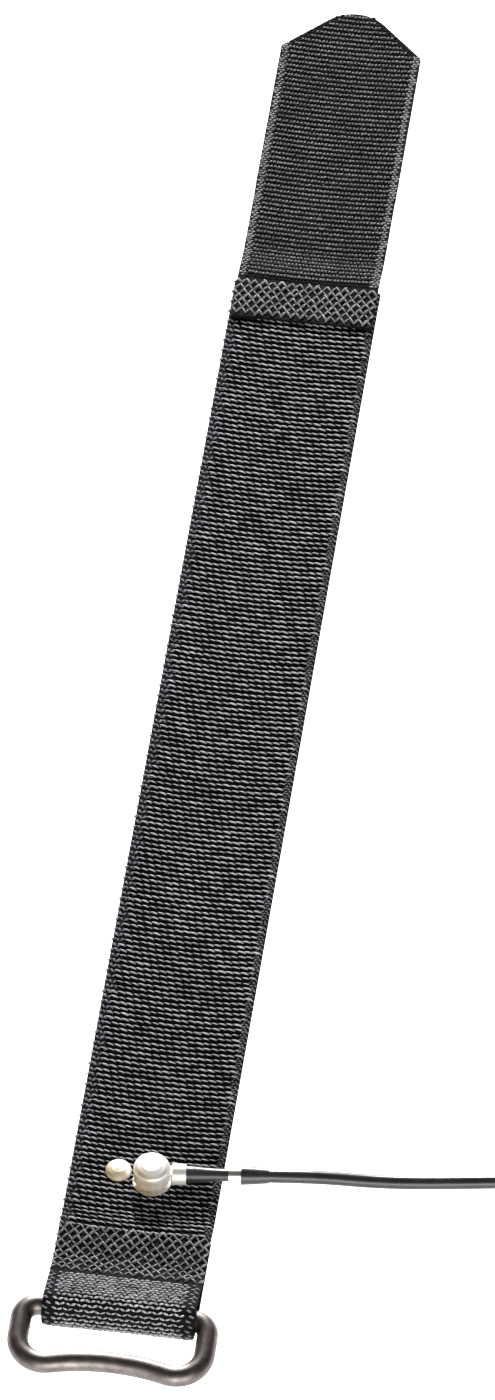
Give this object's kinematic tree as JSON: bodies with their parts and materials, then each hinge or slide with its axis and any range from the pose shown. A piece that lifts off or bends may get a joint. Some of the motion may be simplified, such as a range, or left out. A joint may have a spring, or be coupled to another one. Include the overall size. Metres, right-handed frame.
{
  "type": "esd wrist strap",
  "caption": "Black woven wrist band with a hook tab, a wire ring in a stitched loop, and a grounding lead on a snap that ends in a coiled cord and a plug.",
  "frame": {"origin": "middle of the footprint of the band and ring, at the height of the skin face, which lies on the table", "axes": "+Y along the band towards the hook tab, +Z out of the outer face, +X to the side where the lead leaves"},
  "size_m": [0.1282, 0.3066, 0.0106],
  "materials": {
    "webbing": "ribbed woven black webbing",
    "lining": "knitted conductive grey yarn",
    "stitching": "grey-black thread",
    "hook_tape": "close black weave",
    "hooks": "fine nylon hooks",
    "ring_black": "satin black over steel wire",
    "snap_metal": "pale nickel over brass",
    "contact_steel": "stainless",
    "tinned_metal": "tinned copper",
    "sleeve": "satin shrink sleeve",
    "cord": "glossy black insulation",
    "tie": "satin",
    "plug_plastic": "moulded",
    "plug_metal": "nickel plated",
    "resistor_body": "lacquer"
  },
  "bodies": {
    "band_1": {"webbing_1": "webbing", "lining_1": "lining", "loop_stitching": "stitching", "contact_plate": "contact_steel", "snap_rivet": "contact_steel", "snap_stud": "snap_metal", "plate_rivet": "snap_metal"},
    "band_2": {"webbing_2": "webbing", "lining_2": "lining"},
    "band_3": {"webbing_3": "webbing", "lining_3": "lining"},
    "band_4": {"webbing_4": "webbing", "lining_4": "lining"},
    "band_5": {"webbing_5": "webbing", "lining_5": "lining"},
    "band_6": {"webbing_6": "webbing", "lining_6": "lining"},
    "band_7": {"webbing_7": "webbing", "lining_7": "lining"},
    "band_8": {"webbing_8": "webbing", "lining_8": "lining", "hook_tape_1": "hook_tape", "hook_field_1": "hooks", "tab_stitching": "stitching"},
    "band_9": {"hook_tape_2": "hook_tape", "hook_field_2": "hooks"},
    "ring": {"loop_ring": "ring_black"},
    "socket": {"socket_body": "snap_metal", "socket_spring": "contact_steel", "socket_cap": "snap_metal"},
    "lead": {"lug_terminal": "tinned_metal", "conductor_end": "tinned_metal", "lead_sleeve": "sleeve", "ferrule": "tinned_metal", "cord_relief": "cord", "cord": "cord", "cord_coil": "cord", "coil_tie": "tie", "cord_tail": "cord", "plug_boot": "plug_plastic", "plug_shell": "plug_plastic", "plug_pin": "plug_metal", "plug_spring": "plug_metal", "resistor": "resistor_body", "resistor_leg_cord": "tinned_metal", "resistor_leg_pin": "tinned_metal"}
  },
  "joints": [
    {"name": "bend_1", "type": "hinge", "parent": "band_1", "child": "band_2", "pos_m": [0, -0.09149, 0], "axis": [-1, 0, 0], "range_deg": [0, 33]},
    {"name": "bend_2", "type": "hinge", "parent": "band_2", "child": "band_3", "pos_m": [0, -0.06449, 0], "axis": [-1, 0, 0], "range_deg": [0, 33]},
    {"name": "bend_3", "type": "hinge", "parent": "band_3", "child": "band_4", "pos_m": [0, -0.03749, 0], "axis": [-1, 0, 0], "range_deg": [0, 33]},
    {"name": "bend_4", "type": "hinge", "parent": "band_4", "child": "band_5", "pos_m": [0, -0.01049, 0], "axis": [-1, 0, 0], "range_deg": [0, 33]},
    {"name": "bend_5", "type": "hinge", "parent": "band_5", "child": "band_6", "pos_m": [0, 0.01651, 0], "axis": [-1, 0, 0], "range_deg": [0, 33]},
    {"name": "bend_6", "type": "hinge", "parent": "band_6", "child": "band_7", "pos_m": [0, 0.04351, 0], "axis": [-1, 0, 0], "range_deg": [0, 33]},
    {"name": "bend_7", "type": "hinge", "parent": "band_7", "child": "band_8", "pos_m": [0, 0.07051, 0], "axis": [-1, 0, 0], "range_deg": [0, 33]},
    {"name": "bend_8", "type": "hinge", "parent": "band_8", "child": "band_9", "pos_m": [0, 0.09751, 0], "axis": [-1, 0, 0], "range_deg": [0, 33]},
    {"name": "ring_swing", "type": "hinge", "parent": "band_1", "child": "ring", "pos_m": [0, -0.14064, 0.00305], "axis": [-1, 0, 0], "range_deg": [-90, 140]},
    {"name": "snap_pull", "type": "slide", "parent": "band_1", "child": "socket", "axis": [0, 0, 1], "range_m": [0, 0.006]},
    {"name": "lead_swivel", "type": "hinge", "parent": "socket", "child": "lead", "pos_m": [0.0012, -0.11129, 0.0044], "axis": [0, 0, 1], "range_deg": [-30, 25]}
  ],
  "couplings": [
    {"joint": "bend_2", "follows": "bend_1", "ratio": 1},
    {"joint": "bend_3", "follows": "bend_1", "ratio": 1},
    {"joint": "bend_4", "follows": "bend_1", "ratio": 1},
    {"joint": "bend_5", "follows": "bend_1", "ratio": 1},
    {"joint": "bend_6", "follows": "bend_1", "ratio": 1},
    {"joint": "bend_7", "follows": "bend_1", "ratio": 1},
    {"joint": "bend_8", "follows": "bend_1", "ratio": 1}
  ]
}
